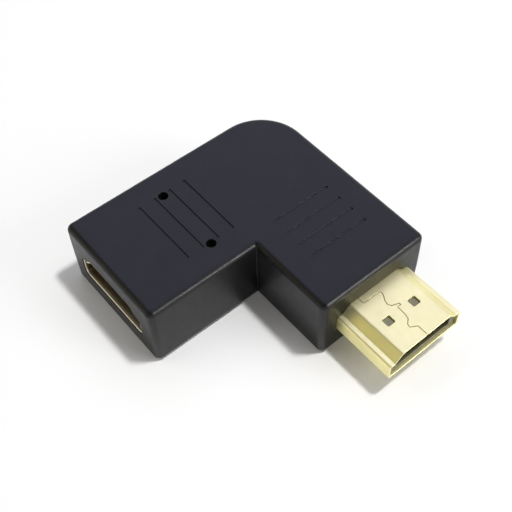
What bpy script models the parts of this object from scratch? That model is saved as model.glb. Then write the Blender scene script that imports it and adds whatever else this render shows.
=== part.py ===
"""Right angle adapter for digital sound and picture: a 19-contact plug on one arm of a moulded L and the
matching socket on the other, both soldered to the edges of one small board inside it.

The two connector axes cross over the origin. The plug points along +X, the socket opens towards -Y, the
narrow side of both connectors is up, and the body rests on its flat underside at Z = 0."""

import math

import bmesh
import bpy
from mathutils import Vector

# Moulded body, whose thickness and arms are given by its walls round the connectors
UNDER_WALL = 0.003625  # below the socket's shell
UPPER_WALL = 0.003475  # above it
SOCKET_SIDE_WALL = 0.003275  # beside the socket's shell, at half height
PLUG_SIDE_WALL = 0.00295  # beside the plug's shell, at half height
SIDE_TAPER = 0.00015  # by which each long side falls back towards the top and the underside
SOCKET_REACH = 0.0284  # from the crossing of the axes to the end face round the socket
PLUG_REACH = 0.0247  # from the crossing of the axes to the end face round the plug
OUTER_CORNER_RADIUS = 0.0078
INNER_CORNER_RADIUS = 0.0003
END_CORNER_RADIUS = 0.00105
EDGE_RADIUS = 0.0010
EDGE_SEGMENTS = 4
OUTER_WALL = 0.0016

# Holes left in the outer mould by the pins that held the inner mould
PIN_HOLE_RADIUS = 0.00075
PIN_HOLE_SPACING = 0.0115
PIN_HOLE_OFFSET = 0.0003  # of their middle from the socket's axis, to the side of the plug
PIN_HOLE_DISTANCE = 0.0144  # from the crossing of the axes, along the socket arm
PIN_HOLE_SEGMENTS = 20

# Shallow plain grip lines across the top of each arm
GRIP_LINES = 4
GRIP_PITCH = 0.0027
GRIP_WIDTH = 0.00045
GRIP_DEPTH = 0.00018
GRIP_END_RADIUS = 0.0002
SOCKET_GRIP_LENGTH = 0.0120
SOCKET_GRIP_DISTANCE = PIN_HOLE_DISTANCE
PLUG_GRIP_LENGTH = 0.0104
PLUG_GRIP_DISTANCE = 0.0130

# Section that plug and socket share, measured on the outside of the plug's shell
PLUG_WIDTH = 0.0139
PLUG_HEIGHT = 0.00445
SIDE_HEIGHT = 0.0032  # from the wide face up to the ledge
LEDGE_WIDTH = 0.00095
SLOPE_RUN = 0.00135  # across, from the ledge's inner end to the narrow face
WIDE_CORNER_RADIUS = 0.0006
LEDGE_CORNER_RADIUS = 0.0004
SLOPE_FOOT_RADIUS = 0.0003
NARROW_CORNER_RADIUS = 0.0007
LEAST_RADIUS = 0.0001

# Sheet metal shells
SHEET = 0.0003
PLUG_RIM_RADIUS = 0.00008
SOCKET_RIM_RADIUS = 0.00013  # leads the plug in
RIM_SEGMENTS = 2
PLUG_EXPOSED = 0.0104
PLUG_SHELL_BURIED = 0.0068
SOCKET_SHELL_LENGTH = 0.0159
SOCKET_SHELL_SETBACK = 0.0001
SOCKET_PLAY = 0.00005  # between the mated plug and the socket's shell, on every side
LATCH_WINDOW = 0.0014
LATCH_CORNER_RADIUS = 0.00025
LATCH_SPACING = 0.0050
LATCH_DISTANCE = 0.0050  # from the plug's tip to the middle of the windows
INSULATOR_OVERHANG = 0.0003  # of an insulator's back past its shell

# Joint in the plug's shell on its narrow face, as (across, from the tip) in metres: a hook, a dovetail, and a
# flap with a rounded corner in front of the moulded body
SEAM_WIDTH = 0.00008
SEAM = (
    (0.0, 0.0018), (-0.0010, 0.0024), (-0.0009, 0.0029), (-0.0002, 0.0035), (0.0, 0.0042), (0.0001, 0.0059),
    (0.0007, 0.0058), (0.0007, 0.0061), (-0.0004, 0.0065), (-0.0007, 0.0071), (-0.0005, 0.0078),
    (-0.0001, 0.0084), (0.0001, 0.0089), (0.0, 0.0092), (-0.0003, 0.0093), (-0.0029, 0.0093), (-0.0031, 0.0095),
)

# Spring leaves cut from the socket's shell
LEAF_WIDTH = 0.0014
LEAF_LENGTH = 0.0056
LEAF_SPACING = 0.0058
LEAF_WINDOW_MARGIN = 0.0004
LEAF_ROOT_DEPTH = 0.0089  # from the socket's mouth to the root of the leaves
LEAF_BOW = 0.00042
LEAF_SHEET = 0.00026
LEAF_LAP = 0.0005
LEAF_CREST_START = 0.0020  # from the leaf's tip
LEAF_CREST_END = 0.0012

# Contacts
CONTACTS = 19
CONTACT_PITCH = 0.0010  # along one row; the other row lies half a pitch across
CONTACT_WIDTH = 0.00045
CONTACT_SHEET = 0.0002
CONTACT_PLANE = -0.0001  # middle of the tongue, above the connector's own middle
CONTACT_BOW = 0.0003
CONTACT_RISE = 0.0010  # along the plug's contact, from its front to the crest of its bow
CONTACT_CREST = 0.0008
CONTACT_FALL = 0.0024
TAIL_LENGTH = 0.0022

# Moulded insulators
TONGUE_WIDTH = 0.0102
TONGUE_THICKNESS = 0.0014
TONGUE_SETBACK = 0.0010
TONGUE_EDGE_RADIUS = 0.00023
TONGUE_EDGE_SEGMENTS = 2
SLOT_WIDTH = 0.0105
SLOT_HEIGHT = 0.0018
SLOT_DEPTH = 0.0099
SOCKET_DEPTH = 0.0113
INSULATOR_SETBACK = 0.0004
GROOVE_DEPTH = 0.00035
TONGUE_GROOVE_DEPTH = 0.0002
GROOVE_PLAY = 0.00005
GROOVE_END_WALL = 0.0004  # left in front of the grooves
GROOVE_END_PLAY = 0.0003  # between that wall and the contacts

# Board
BOARD_THICKNESS = 0.0010
BOARD_SIDE_INSET = 0.00035  # of its sides from those of the plug
BOARD_CORNER_RADIUS = 0.0022
BOARD_SETBACK = 0.0005  # between an insulator's back and the edge of the board

SEAT_GAP = 0.00005  # between pieces that touch
THROUGH = 0.0010  # how far a cutter runs past what it cuts
ARC_STEP = math.radians(15)
SMALL_ARC_STEP = math.radians(30)
FILL_SCALE = 1000  # outlines are filled at this scale, because the fill merges points that lie very close
WELD = 1e-7
FLAT_ANGLE = math.radians(0.2)
SHARP_ANGLE = math.radians(50)
SMOOTH_ANGLE = math.radians(35)

SOCKET_HALF_HEIGHT = PLUG_HEIGHT / 2 + SOCKET_PLAY + SHEET
SOCKET_HALF_WIDTH = PLUG_WIDTH / 2 + SOCKET_PLAY + SHEET
CONNECTOR_HEIGHT = UNDER_WALL + SOCKET_HALF_HEIGHT  # of both axes above the underside
BODY_THICKNESS = CONNECTOR_HEIGHT + SOCKET_HALF_HEIGHT + UPPER_WALL
SOCKET_ARM_WIDTH = 2 * (SOCKET_HALF_WIDTH + SOCKET_SIDE_WALL)
PLUG_ARM_WIDTH = PLUG_WIDTH + 2 * PLUG_SIDE_WALL
PLUG_TIP = PLUG_REACH + PLUG_EXPOSED
PLUG_SHELL_BACK = PLUG_REACH - PLUG_SHELL_BURIED
BOARD_WIDTH = PLUG_WIDTH - 2 * BOARD_SIDE_INSET
SOCKET_SHELL_MOUTH = SOCKET_REACH - SOCKET_SHELL_SETBACK
SOCKET_SHELL_BACK = SOCKET_SHELL_MOUTH - SOCKET_SHELL_LENGTH
PLUG_INSULATOR_BACK = PLUG_SHELL_BACK - INSULATOR_OVERHANG
SOCKET_INSULATOR_BACK = SOCKET_SHELL_BACK - INSULATOR_OVERHANG
PLUG_BOARD_EDGE = PLUG_INSULATOR_BACK - BOARD_SETBACK
SOCKET_BOARD_EDGE = SOCKET_INSULATOR_BACK - BOARD_SETBACK
TAIL_HEIGHT = BOARD_THICKNESS / 2 + SEAT_GAP + CONTACT_SHEET / 2
PLUG_CONTACT_HEIGHT = SLOT_HEIGHT / 2 + GROOVE_DEPTH - GROOVE_PLAY - CONTACT_SHEET / 2
SOCKET_CONTACT_HEIGHT = TONGUE_THICKNESS / 2 - TONGUE_GROOVE_DEPTH + GROOVE_PLAY + CONTACT_SHEET / 2
PLUG_INSULATOR_FRONT = PLUG_TIP - INSULATOR_SETBACK
TONGUE_TIP = SOCKET_REACH - TONGUE_SETBACK


def clear_scene():
    for obj in list(bpy.data.objects):
        bpy.data.objects.remove(obj, do_unlink=True)


def new_collection(name):
    made = bpy.data.collections.new(name)
    bpy.context.scene.collection.children.link(made)
    return made


def new_material(name, colour, roughness, metallic=0.0):
    made = bpy.data.materials.new(name)
    made.use_nodes = True
    shader = made.node_tree.nodes["Principled BSDF"]
    shader.inputs["Base Color"].default_value = (*colour, 1.0)
    shader.inputs["Roughness"].default_value = roughness
    shader.inputs["Metallic"].default_value = metallic
    return made


def rounded(corners, step=ARC_STEP):
    """The points of an outline whose corners (x, y, radius) are turned into arcs."""
    points = []
    for index, (x, y, radius) in enumerate(corners):
        here = Vector((x, y))
        before = (Vector(corners[index - 1][:2]) - here).normalized()
        after = (Vector(corners[(index + 1) % len(corners)][:2]) - here).normalized()
        if radius == 0:
            points.append(here)
            continue
        half = before.angle(after) / 2
        centre = here + (before + after).normalized() * (radius / math.sin(half))
        first = here + before * (radius / math.tan(half)) - centre
        turn = math.copysign(math.pi - 2 * half, after.cross(before))
        steps = max(2, round(abs(turn) / step))
        start = math.atan2(first.y, first.x)
        for i in range(steps + 1):
            angle = start + turn * i / steps
            points.append(centre + radius * Vector((math.cos(angle), math.sin(angle))))
    return points


def inset(corners, distance):
    """The same corners with each side moved inward, or outward where the distance is negative."""
    moved = []
    for index, (x, y, radius) in enumerate(corners):
        here = Vector((x, y))
        into = (here - Vector(corners[index - 1][:2])).normalized()
        onward = (Vector(corners[(index + 1) % len(corners)][:2]) - here).normalized()
        normals = Vector((-into.y, into.x)), Vector((-onward.y, onward.x))
        here += (normals[0] + normals[1]) * (distance / (1 + normals[0].dot(normals[1])))
        grown = radius - math.copysign(distance, into.cross(onward) * distance) if distance else radius
        moved.append((here.x, here.y, max(grown, LEAST_RADIUS)))
    return moved


def rectangle(width, depth, radius=0.0, centre=(0.0, 0.0)):
    x, y = centre
    halves = ((-1, -1), (1, -1), (1, 1), (-1, 1))
    return [(x + a * width / 2, y + b * depth / 2, radius) for a, b in halves]


def strip(path, thickness):
    """The outline of a bent strip that follows a path of (along, up) points."""
    points = [Vector(point) for point in path]
    sides = ([], [])
    for index, point in enumerate(points):
        into = (point - points[max(index - 1, 0)]).normalized()
        onward = (points[min(index + 1, len(points) - 1)] - point).normalized()
        into = into if index else onward
        onward = onward if index < len(points) - 1 else into
        normals = Vector((-into.y, into.x)), Vector((-onward.y, onward.x))
        offset = (normals[0] + normals[1]) * (thickness / 2 / (1 + normals[0].dot(normals[1])))
        sides[0].append(point - offset)
        sides[1].append(point + offset)
    return sides[0] + sides[1][::-1]


def link(obj, home, parent=None):
    home.objects.link(obj)
    obj.parent = parent
    return obj


def plate(name, outlines, low, high, home, parent=None):
    """A flat outline, with any further outlines as holes in it, made solid from low to high along its Z."""
    curve = bpy.data.curves.new(name, "CURVE")
    curve.dimensions = "2D"
    curve.fill_mode = "BOTH"
    curve.extrude = (high - low) / 2 * FILL_SCALE
    for outline in outlines:
        spline = curve.splines.new("POLY")
        spline.points.add(len(outline) - 1)
        for point, place in zip(spline.points, outline):
            point.co = (place[0] * FILL_SCALE, place[1] * FILL_SCALE, 0, 1)
        spline.use_cyclic_u = True
    guide = link(bpy.data.objects.new(name, curve), home)
    graph = bpy.context.evaluated_depsgraph_get()
    mesh = bpy.data.meshes.new_from_object(guide.evaluated_get(graph))
    bpy.data.objects.remove(guide)
    bpy.data.curves.remove(curve)
    shape = bmesh.new()
    shape.from_mesh(mesh)
    bmesh.ops.scale(shape, vec=(1 / FILL_SCALE,) * 3, verts=shape.verts)
    bmesh.ops.translate(shape, vec=(0, 0, (low + high) / 2), verts=shape.verts)
    bmesh.ops.remove_doubles(shape, verts=shape.verts, dist=WELD)
    bmesh.ops.dissolve_limit(shape, angle_limit=FLAT_ANGLE, verts=shape.verts, edges=shape.edges)
    bmesh.ops.recalc_face_normals(shape, faces=shape.faces)
    shape.to_mesh(mesh)
    shape.free()
    mesh.name = name
    return link(bpy.data.objects.new(name, mesh), home, parent)


def solid(name, shape, home, parent=None):
    mesh = bpy.data.meshes.new(name)
    shape.to_mesh(mesh)
    shape.free()
    return link(bpy.data.objects.new(name, mesh), home, parent)


def box(name, low, high, home, parent=None):
    shape = bmesh.new()
    bmesh.ops.create_cube(shape, size=1)
    low, high = Vector(low), Vector(high)
    bmesh.ops.scale(shape, vec=high - low, verts=shape.verts)
    bmesh.ops.translate(shape, vec=(low + high) / 2, verts=shape.verts)
    return solid(name, shape, home, parent)


def lofted(name, levels, home):
    """A solid between outlines of as many points, given from the bottom up as (height, outline)."""
    shape = bmesh.new()
    rings = [[shape.verts.new((x, y, height)) for x, y in outline] for height, outline in levels]
    for lower, upper in zip(rings, rings[1:]):
        for index in range(len(lower)):
            shape.faces.new((lower[index - 1], lower[index], upper[index], upper[index - 1]))
    shape.faces.new(rings[0][::-1])
    shape.faces.new(rings[-1])
    return solid(name, shape, home)


def cylinder(name, radius, low, high, home):
    shape = bmesh.new()
    bmesh.ops.create_cone(
        shape, cap_ends=True, segments=PIN_HOLE_SEGMENTS, depth=high - low, radius1=radius, radius2=radius
    )
    bmesh.ops.translate(shape, vec=(0, 0, (low + high) / 2), verts=shape.verts)
    return solid(name, shape, home)


def helper(obj):
    """Marks a cutter, or a shape that is joined to another, as no piece of its own."""
    obj.hide_render = True
    obj.display_type = "WIRE"
    return obj


def combine(target, tool, operation="DIFFERENCE"):
    modifier = target.modifiers.new(tool.name, "BOOLEAN")
    modifier.operation = operation
    modifier.solver = "EXACT"
    modifier.object = helper(tool)


def bevel(obj, width, segments):
    modifier = obj.modifiers.new("rounded edges", "BEVEL")
    modifier.width = width
    modifier.segments = segments
    modifier.limit_method = "ANGLE"
    modifier.angle_limit = SHARP_ANGLE
    modifier.use_clamp_overlap = False


def finish(obj, material):
    obj.data.materials.clear()
    obj.data.materials.append(material)
    obj.data.shade_smooth()
    obj.data.set_sharp_from_angle(angle=SMOOTH_ANGLE)
    return obj


def body_corners(taper=0.0):
    """The outline of the L from above, with its long sides moved in."""
    half_socket, half_plug = SOCKET_ARM_WIDTH / 2 - taper, PLUG_ARM_WIDTH / 2 - taper
    return [
        (-half_socket, -SOCKET_REACH, END_CORNER_RADIUS),
        (half_socket, -SOCKET_REACH, END_CORNER_RADIUS),
        (half_socket, -half_plug, INNER_CORNER_RADIUS),
        (PLUG_REACH, -half_plug, END_CORNER_RADIUS),
        (PLUG_REACH, half_plug, END_CORNER_RADIUS),
        (-half_socket, half_plug, OUTER_CORNER_RADIUS),
    ]


def connector_corners(grow=0.0):
    """The section of the plug's shell on the outside, wide face down, grown on every side."""
    ledge = -PLUG_HEIGHT / 2 + SIDE_HEIGHT
    slope_foot = PLUG_WIDTH / 2 - LEDGE_WIDTH
    right = [
        (PLUG_WIDTH / 2, -PLUG_HEIGHT / 2, WIDE_CORNER_RADIUS),
        (PLUG_WIDTH / 2, ledge, LEDGE_CORNER_RADIUS),
        (slope_foot, ledge, SLOPE_FOOT_RADIUS),
        (slope_foot - SLOPE_RUN, PLUG_HEIGHT / 2, NARROW_CORNER_RADIUS),
    ]
    left = [(-x, y, radius) for x, y, radius in reversed(right)]
    return inset(right + left, -grow)


def section(grow=0.0):
    return rounded(connector_corners(grow), SMALL_ARC_STEP)


def connector_axis(name, rotation, home):
    """An empty at the crossing of the axes, with Z out of the connector and Y up."""
    axis = link(bpy.data.objects.new(name, None), home)
    axis.location = (0, 0, CONNECTOR_HEIGHT)
    axis.rotation_euler = rotation
    return axis


def outer_mould(home, cutters, plug_axis, socket_axis):
    """A hollow shell, parted at half height, whose long sides taper for the moulding tool. The end faces
    round the connectors are plumb."""
    levels = ((0, SIDE_TAPER), (BODY_THICKNESS / 2, 0), (BODY_THICKNESS, SIDE_TAPER))
    body = lofted("outer_mould", [(height, rounded(body_corners(taper))) for height, taper in levels], home)
    bevel(body, EDGE_RADIUS, EDGE_SEGMENTS)
    wall = OUTER_WALL - SEAT_GAP
    hollow = rounded(inset(body_corners(), wall))
    combine(body, plate("core_space", [hollow], wall, BODY_THICKNESS - wall, cutters))
    for name, reach, grow, axis in (
        ("plug_exit", PLUG_REACH, SEAT_GAP, plug_axis),
        ("socket_mouth", SOCKET_REACH, SOCKET_PLAY + SHEET + SEAT_GAP, socket_axis),
    ):
        start = reach - OUTER_WALL - THROUGH
        combine(body, plate(name, [section(grow)], start, reach + THROUGH, cutters, axis))
    for index, side in enumerate((-1, 1)):
        low = BODY_THICKNESS - OUTER_WALL - THROUGH
        hole = cylinder(f"pin_hole_{index + 1}", PIN_HOLE_RADIUS, low, BODY_THICKNESS + THROUGH, cutters)
        hole.location = (PIN_HOLE_OFFSET + side * PIN_HOLE_SPACING / 2, -PIN_HOLE_DISTANCE, 0)
        combine(body, hole)
    for index in range(GRIP_LINES):
        along = (index - (GRIP_LINES - 1) / 2) * GRIP_PITCH
        across_socket = rectangle(
            SOCKET_GRIP_LENGTH, GRIP_WIDTH, GRIP_END_RADIUS, (0, -SOCKET_GRIP_DISTANCE + along)
        )
        across_plug = rectangle(
            GRIP_WIDTH, PLUG_GRIP_LENGTH, GRIP_END_RADIUS, (PLUG_GRIP_DISTANCE + along, 0)
        )
        for name, corners in (("socket_grip", across_socket), ("plug_grip", across_plug)):
            outline = rounded(corners, SMALL_ARC_STEP)
            floor = BODY_THICKNESS - GRIP_DEPTH
            line = plate(f"{name}_{index + 1}", [outline], floor, BODY_THICKNESS + THROUGH, cutters)
            combine(body, line)
    return body


def inner_mould(home, cutters, plug_axis, socket_axis):
    """The block that is cast round the board and the backs of both connectors before the outer mould."""
    outline = rounded(inset(body_corners(), OUTER_WALL))
    block = plate("inner_mould", [outline], OUTER_WALL, BODY_THICKNESS - OUTER_WALL, home)
    board_height = CONNECTOR_HEIGHT + CONTACT_PLANE
    half = BOARD_THICKNESS / 2 + SEAT_GAP
    recess = rounded(inset(board_corners(), -SEAT_GAP))
    combine(block, plate("board_space", [recess], board_height - half, board_height + half, cutters))
    tail_half = (CONTACTS - 1) * CONTACT_PITCH / 4 + CONTACT_WIDTH / 2 + SEAT_GAP
    socket_grow = SOCKET_PLAY + SHEET + SEAT_GAP
    for name, axis, back, front, grow, contact_height in (
        ("plug", plug_axis, PLUG_INSULATOR_BACK, PLUG_REACH, SEAT_GAP, PLUG_CONTACT_HEIGHT),
        ("socket", socket_axis, SOCKET_INSULATOR_BACK, SOCKET_REACH, socket_grow, SOCKET_CONTACT_HEIGHT),
    ):
        start = back - SEAT_GAP
        combine(block, plate(f"{name}_space", [section(grow)], start, front, cutters, axis))
        tail_height = max(TAIL_HEIGHT, contact_height) + CONTACT_SHEET / 2 + SEAT_GAP
        tail_start = back - BOARD_SETBACK - TAIL_LENGTH - SEAT_GAP
        low = (-tail_half, CONTACT_PLANE - tail_height, tail_start)
        high = (tail_half, CONTACT_PLANE + tail_height, back + THROUGH)
        combine(block, box(f"{name}_tail_space", low, high, cutters, axis))
    return block


def board_corners():
    half = BOARD_WIDTH / 2
    return [
        (-half, -SOCKET_BOARD_EDGE, LEAST_RADIUS),
        (half, -SOCKET_BOARD_EDGE, LEAST_RADIUS),
        (half, -half, LEAST_RADIUS),
        (PLUG_BOARD_EDGE, -half, LEAST_RADIUS),
        (PLUG_BOARD_EDGE, half, LEAST_RADIUS),
        (-half, half, BOARD_CORNER_RADIUS),
    ]


def circuit_board(home):
    height = CONNECTOR_HEIGHT + CONTACT_PLANE
    half = BOARD_THICKNESS / 2
    return plate("circuit_board", [rounded(board_corners())], height - half, height + half, home)


def window(name, corners, cutters, axis):
    """A cutter through both broad faces of the plug, with its outline given as (across, along the axis)."""
    cutter = plate(name, [rounded(corners, SMALL_ARC_STEP)], -PLUG_HEIGHT, PLUG_HEIGHT, cutters, axis)
    cutter.rotation_euler = (math.radians(90), 0, 0)
    return cutter


def plug_shell(home, cutters, axis):
    """One folded and gold plated sheet."""
    rings = [section(), section(-SHEET)]
    shell = plate("plug_shell", rings, PLUG_SHELL_BACK, PLUG_TIP, home, axis)
    bevel(shell, PLUG_RIM_RADIUS, RIM_SEGMENTS)
    for index, side in enumerate((-1, 1)):
        centre = (side * LATCH_SPACING / 2, PLUG_TIP - LATCH_DISTANCE)
        corners = rectangle(LATCH_WINDOW, LATCH_WINDOW, LATCH_CORNER_RADIUS, centre)
        combine(shell, window(f"latch_window_{index + 1}", corners, cutters, axis))
    path = [(x, PLUG_TIP - from_tip) for x, from_tip in SEAM]
    path.insert(0, (path[0][0], PLUG_TIP + THROUGH))
    path.append((path[-1][0], PLUG_SHELL_BACK - THROUGH))
    seam = plate("seam", [strip(path, SEAM_WIDTH)], -PLUG_HEIGHT, 0, cutters, axis)
    seam.rotation_euler = (math.radians(90), 0, 0)
    combine(shell, seam)
    return shell


def socket_shell(home, cutters, axis):
    """One folded sheet with two spring leaves on each of its wide and narrow faces."""
    rings = [section(SOCKET_PLAY + SHEET), section(SOCKET_PLAY)]
    shell = plate("socket_shell", rings, SOCKET_SHELL_BACK, SOCKET_SHELL_MOUTH, home, axis)
    bevel(shell, SOCKET_RIM_RADIUS, RIM_SEGMENTS)
    wall = PLUG_HEIGHT / 2 + SOCKET_PLAY + SHEET / 2
    root = SOCKET_REACH - LEAF_ROOT_DEPTH
    tip = root + LEAF_LENGTH
    margin = LEAF_WINDOW_MARGIN
    for index, (side, face) in enumerate(((-1, -1), (1, -1), (-1, 1), (1, 1))):
        x = side * LEAF_SPACING / 2
        half = LEAF_WIDTH / 2 + margin
        low = (x - half, face * wall - SHEET, root)
        high = (x + half, face * wall + SHEET, tip + margin)
        combine(shell, box(f"leaf_window_{index + 1}", low, high, cutters, axis))
        bowed = wall - LEAF_BOW
        path = [
            (root - LEAF_LAP, face * wall),
            (root, face * wall),
            (tip - LEAF_CREST_START, face * bowed),
            (tip - LEAF_CREST_END, face * bowed),
            (tip, face * wall),
        ]
        leaf = sheet_strip(f"leaf_{index + 1}", path, LEAF_SHEET, LEAF_WIDTH, x, cutters, axis)
        combine(shell, leaf, "UNION")
    return shell


def sheet_strip(name, path, thickness, width, x, home, axis):
    """A bent strip in the plane of the connector's axis and its height, at x across the connector."""
    made = plate(name, [strip(path, thickness)], -width / 2, width / 2, home, axis)
    made.location = (x, 0, 0)
    made.rotation_euler = (0, math.radians(-90), 0)
    return made


def groove_row(name, side, low, high, start, end, cutters, axis):
    """Grooves for one row of contacts, between two heights above the middle of the tongue."""
    count = CONTACTS // 2 if side > 0 else CONTACTS - CONTACTS // 2
    half = CONTACT_WIDTH / 2 + GROOVE_PLAY
    first = -(count - 1) * CONTACT_PITCH / 2
    heights = sorted((CONTACT_PLANE + side * low, CONTACT_PLANE + side * high))
    cutter = box(name, (first - half, heights[0], start), (first + half, heights[1], end), cutters, axis)
    row = cutter.modifiers.new("row", "ARRAY")
    row.count = count
    row.use_relative_offset = False
    row.use_constant_offset = True
    row.constant_offset_displace = (CONTACT_PITCH, 0, 0)
    return cutter


def plug_insulator(home, cutters, axis):
    outline = section(-SHEET - SEAT_GAP)
    block = plate("plug_insulator", [outline], PLUG_INSULATOR_BACK, PLUG_INSULATOR_FRONT, home, axis)
    slot = rectangle(SLOT_WIDTH, SLOT_HEIGHT, LEAST_RADIUS, (0, CONTACT_PLANE))
    start = PLUG_TIP - SLOT_DEPTH
    combine(block, plate("tongue_slot", [rounded(slot)], start, PLUG_TIP + THROUGH, cutters, axis))
    low = SLOT_HEIGHT / 2 - GROOVE_PLAY
    high = SLOT_HEIGHT / 2 + GROOVE_DEPTH
    for side, row in ((1, "narrow"), (-1, "wide")):
        grooves = groove_row(
            f"plug_grooves_{row}", side, low, high,
            PLUG_INSULATOR_BACK - THROUGH, PLUG_INSULATOR_FRONT - GROOVE_END_WALL, cutters, axis,
        )
        combine(block, grooves)
    return block


def socket_insulator(home, cutters, axis):
    """A block that closes the back of the socket's shell, with the tongue standing forward from it."""
    face = SOCKET_REACH - SOCKET_DEPTH
    outline = section(SOCKET_PLAY - SEAT_GAP)
    block = plate("socket_insulator", [outline], SOCKET_INSULATOR_BACK, face, home, axis)
    profile = rounded(rectangle(TONGUE_WIDTH, TONGUE_THICKNESS, LEAST_RADIUS, (0, CONTACT_PLANE)))
    tongue = plate("tongue", [profile], face - THROUGH, TONGUE_TIP, cutters, axis)
    bevel(tongue, TONGUE_EDGE_RADIUS, TONGUE_EDGE_SEGMENTS)
    combine(block, tongue, "UNION")
    low = TONGUE_THICKNESS / 2 - TONGUE_GROOVE_DEPTH
    high = SOCKET_CONTACT_HEIGHT + CONTACT_SHEET / 2 + GROOVE_PLAY
    for side, row in ((1, "narrow"), (-1, "wide")):
        grooves = groove_row(
            f"socket_grooves_{row}", side, low, high,
            SOCKET_INSULATOR_BACK - THROUGH, TONGUE_TIP - GROOVE_END_WALL, cutters, axis,
        )
        combine(block, grooves)
    return block


def plug_contact_path():
    """A spring strip, bowed into the slot near the tip, then straight through the block and onto the board."""
    rest = PLUG_CONTACT_HEIGHT
    front = PLUG_INSULATOR_FRONT - GROOVE_END_WALL - GROOVE_END_PLAY
    bent = PLUG_INSULATOR_BACK - BOARD_SETBACK
    return [
        (front, rest),
        (front - CONTACT_RISE, rest - CONTACT_BOW),
        (front - CONTACT_RISE - CONTACT_CREST, rest - CONTACT_BOW),
        (front - CONTACT_RISE - CONTACT_CREST - CONTACT_FALL, rest),
        (PLUG_INSULATOR_BACK, rest),
        (bent, TAIL_HEIGHT),
        (bent - TAIL_LENGTH, TAIL_HEIGHT),
    ]


def socket_contact_path():
    """A flat strip along the tongue, through the block and onto the board."""
    rest = SOCKET_CONTACT_HEIGHT
    front = TONGUE_TIP - GROOVE_END_WALL - GROOVE_END_PLAY
    bent = SOCKET_INSULATOR_BACK - BOARD_SETBACK
    return [
        (front, rest),
        (SOCKET_INSULATOR_BACK, rest),
        (bent, TAIL_HEIGHT),
        (bent - TAIL_LENGTH, TAIL_HEIGHT),
    ]


def contacts(name, path, first_side, home, axis, material):
    """Odd contacts lie in the wide face's row and even ones in the narrow face's, half a pitch across.
    Contact 1 is at the outer side of the bend on both connectors."""
    rows = {}
    for pin in range(1, CONTACTS + 1):
        side = -1 if pin % 2 else 1
        x = first_side * ((CONTACTS + 1) / 2 - pin) * CONTACT_PITCH / 2
        piece_name = f"{name}_{pin:02d}"
        if side not in rows:
            heights = [(along, CONTACT_PLANE + side * up) for along, up in path]
            piece = sheet_strip(piece_name, heights, CONTACT_SHEET, CONTACT_WIDTH, x, home, axis)
            rows[side] = finish(piece, material).data
            continue
        piece = link(bpy.data.objects.new(piece_name, rows[side]), home, axis)
        piece.location = (x, 0, 0)
        piece.rotation_euler = (0, math.radians(-90), 0)


def main():
    clear_scene()
    home = new_collection("right_angle_adapter")
    cutters = new_collection("cutters")
    plug_axis = connector_axis("plug_axis", (math.radians(90), 0, math.radians(90)), home)
    socket_axis = connector_axis("socket_axis", (math.radians(90), 0, 0), home)
    black = new_material("black_moulded_plastic", (0.035, 0.034, 0.040), 0.5)
    gold = new_material("gold_plated_sheet", (0.83, 0.64, 0.30), 0.25, 1.0)
    contact_gold = new_material("gold_plated_contacts", (0.86, 0.62, 0.24), 0.3, 1.0)
    insulator = new_material("black_insulator", (0.012, 0.012, 0.013), 0.45)
    core = new_material("black_core_plastic", (0.022, 0.022, 0.024), 0.65)
    board = new_material("green_board", (0.02, 0.13, 0.06), 0.4)
    finish(outer_mould(home, cutters, plug_axis, socket_axis), black)
    finish(inner_mould(home, cutters, plug_axis, socket_axis), core)
    finish(circuit_board(home), board)
    finish(plug_shell(home, cutters, plug_axis), gold)
    finish(plug_insulator(home, cutters, plug_axis), insulator)
    finish(socket_shell(home, cutters, socket_axis), gold)
    finish(socket_insulator(home, cutters, socket_axis), insulator)
    contacts("plug_contact", plug_contact_path(), 1, home, plug_axis, contact_gold)
    contacts("socket_contact", socket_contact_path(), -1, home, socket_axis, contact_gold)


main()
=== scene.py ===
"""Looks, camera and light for the right angle adapter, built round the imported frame. Sizes are in metres."""

import math

import bmesh
import bpy
from mathutils import Matrix, Vector


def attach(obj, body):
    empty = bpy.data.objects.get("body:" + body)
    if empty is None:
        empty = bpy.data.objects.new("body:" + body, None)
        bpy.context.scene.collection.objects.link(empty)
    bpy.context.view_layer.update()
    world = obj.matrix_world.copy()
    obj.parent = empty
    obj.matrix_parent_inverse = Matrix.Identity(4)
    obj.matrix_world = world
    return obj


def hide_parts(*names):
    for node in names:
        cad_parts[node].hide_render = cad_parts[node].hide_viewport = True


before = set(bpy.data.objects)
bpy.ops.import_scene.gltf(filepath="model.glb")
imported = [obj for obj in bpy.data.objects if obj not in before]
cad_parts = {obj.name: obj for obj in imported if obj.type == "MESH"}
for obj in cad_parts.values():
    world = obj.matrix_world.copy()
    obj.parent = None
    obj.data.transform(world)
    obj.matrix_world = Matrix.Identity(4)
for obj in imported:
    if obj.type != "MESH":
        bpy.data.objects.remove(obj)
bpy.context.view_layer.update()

# Moulded body
SOCKET_REACH = 0.0284  # from the crossing of the axes to the end face round the socket
PLUG_REACH = 0.0247  # from the crossing of the axes to the end face round the plug
BODY_THICKNESS = 0.01225
SOCKET_ARM_WIDTH = 0.02115
PLUG_ARM_WIDTH = 0.0198
SIDE_TAPER = 0.00015  # by which each long side falls back towards the top and the underside
CONNECTOR_HEIGHT = 0.0062
OUTER_CORNER_RADIUS = 0.0078
INNER_CORNER_RADIUS = 0.0001  # tighter than the solid's, whose rounding shows as a light line
END_CORNER_RADIUS = 0.00105
EDGE_RADIUS = 0.0010
EDGE_SEGMENTS = 8
OUTER_WALL = 0.0016
CUT_ROUNDING = 0.00006  # of the edges that cuts leave in the mould
CUT_ROUNDING_SEGMENTS = 3
PIN_HOLE_RADIUS = 0.00075
PIN_HOLE_SPACING = 0.0115
PIN_HOLE_OFFSET = 0.0003  # of their middle from the socket's axis, to the side of the plug
PIN_HOLE_DISTANCE = 0.0144  # from the crossing of the axes, along the socket arm
GRIP_LINES = 4
GRIP_PITCH = 0.0027
GRIP_WIDTH = 0.00045
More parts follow.
